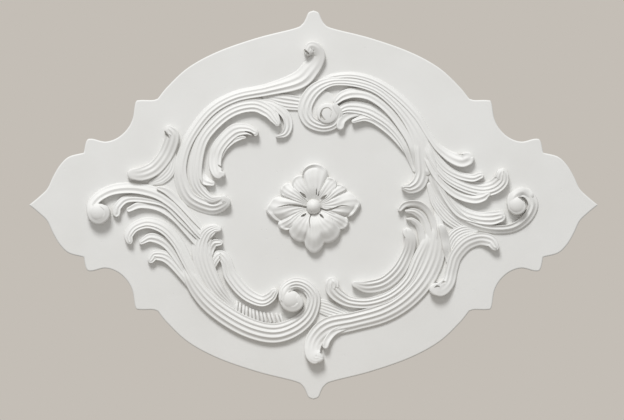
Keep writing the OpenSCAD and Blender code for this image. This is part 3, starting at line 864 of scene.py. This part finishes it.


# Soil_Tone and Shade set the colour and strength of the painted shade in each finish's hollows.
surface = cast_surface()
carved = plaster_finish(
    "plaster", surface, Tone=(0.745, 0.75, 0.74, 1), Cloud_Tone=(0.722, 0.725, 0.712, 1),
    Soil_Tone=(0.56, 0.51, 0.45, 1), Soil=0.3, Roughness=0.6, Unevenness=0.3, Grain=0.02, Pits=0.25,
)
screeded = plaster_finish(
    "plaster_back", surface, Tone=(0.66, 0.655, 0.635, 1), Cloud_Tone=(0.58, 0.57, 0.545, 1),
    Soil_Tone=(0.5, 0.46, 0.41, 1), Soil=0.3, Roughness=0.85, Unevenness=1.2, Grain=0.12, Pits=0.6,
)
rose.data.materials.clear()
rose.data.materials.append(carved)
rose.data.materials.append(screeded)
for index in back_faces:
    rose.data.polygons[index].material_index = 1

# ---- Light, floor and camera ----
BACKDROP = (0.552, 0.515, 0.468)
AMBIENT = (0.458, 0.447, 0.434)
FLOOR_TONE = (0.40, 0.372, 0.338)
FLOOR_DROP = 0.08  # metres from the lowest point down to the floor
FLOOR_RADIUS = 0.72
FLOOR_FADE = 0.38  # radius at which the floor starts to fade into the backdrop


def studio_world():
    """Even light on the object, and the plain backdrop wherever a camera, glossy or see-through ray looks."""
    world = bpy.data.worlds.new("studio")
    bpy.context.scene.world = world
    world.use_nodes = True
    tree = world.node_tree
    even = tree.nodes["Background"]
    even.inputs["Color"].default_value = (*AMBIENT, 1)
    plain = add(tree, "ShaderNodeBackground", {"Color": (*BACKDROP, 1)})
    path = tree.nodes.new("ShaderNodeLightPath").outputs
    seen = 0
    for ray in ("Is Camera Ray", "Is Glossy Ray", "Is Transmission Ray"):
        seen = add(tree, "ShaderNodeMath", {0: path[ray], 1: seen}, operation="MAXIMUM").outputs[0]
    mix = add(tree, "ShaderNodeMixShader", {0: seen, 1: even.outputs[0], 2: plain.outputs[0]})
    tree.links.new(mix.outputs[0], tree.nodes["World Output"].inputs["Surface"])


def floor_disc():
    """A pale floor under the rose, which fades out towards its rim."""
    mesh = bpy.data.meshes.new("floor")
    shell = bmesh.new()
    bmesh.ops.create_circle(shell, cap_ends=True, segments=96, radius=FLOOR_RADIUS)
    shell.to_mesh(mesh)
    shell.free()
    floor = bpy.data.objects.new("floor", mesh)
    bpy.context.scene.collection.objects.link(floor)
    floor.location = (MIDDLE[0], MIDDLE[1], low[2] - FLOOR_DROP)
    pale = bpy.data.materials.new("floor")
    pale.use_nodes = True
    tree = pale.node_tree
    shader = tree.nodes["Principled BSDF"]
    shader.inputs["Base Color"].default_value = (*FLOOR_TONE, 1)
    shader.inputs["Roughness"].default_value = 0.9
    shader.inputs["Specular IOR Level"].default_value = 0.1
    place = tree.nodes.new("ShaderNodeTexCoord").outputs["Object"]
    reach = add(tree, "ShaderNodeVectorMath", {0: place}, operation="LENGTH").outputs["Value"]
    ends = {"From Min": FLOOR_FADE, "From Max": FLOOR_RADIUS, "To Min": 1, "To Max": 0}
    fade = add(tree, "ShaderNodeMapRange", {"Value": reach, **ends}, interpolation_type="SMOOTHERSTEP")
    tree.links.new(fade.outputs["Result"], shader.inputs["Alpha"])
    mesh.materials.append(pale)


def lamp(name, where, size, power):
    """A square lamp that faces the middle of the back."""
    light = bpy.data.lights.new(name, "AREA")
    light.shape = "SQUARE"
    light.size = size
    light.energy = power
    lamp_object = bpy.data.objects.new(name, light)
    bpy.context.scene.collection.objects.link(lamp_object)
    lamp_object.location = where
    direction = -np.array(where, float)
    lamp_object.rotation_euler = Vector(direction).to_track_quat("-Z", "Y").to_euler()


studio_world()
floor_disc()
lamp("key", (-1.6, -5.9, 7.3), 3.1, 760)

LENS = 180.0
SENSOR = 36.0
VIEW_WIDTH = 1.0967  # metres across the view at the depth of the plate's face
FACE_DEPTH = 0.024  # from the front of the relief back to the plate's face
ASIDE, BELOW = 0.0026, 0.0088  # metres from the middle of the rose to the camera's axis
camera_data = bpy.data.cameras.new("camera")
camera_data.lens = LENS
camera_data.sensor_width = SENSOR
camera = bpy.data.objects.new("camera", camera_data)
bpy.context.scene.collection.objects.link(camera)
distance = VIEW_WIDTH * LENS / SENSOR
camera.location = (MIDDLE[0] - ASIDE, low[1] + FACE_DEPTH - distance, MIDDLE[2] - BELOW)
camera.rotation_euler = (math.pi / 2, 0, 0)
bpy.context.scene.camera = camera
bpy.context.scene.view_settings.view_transform = "Standard"
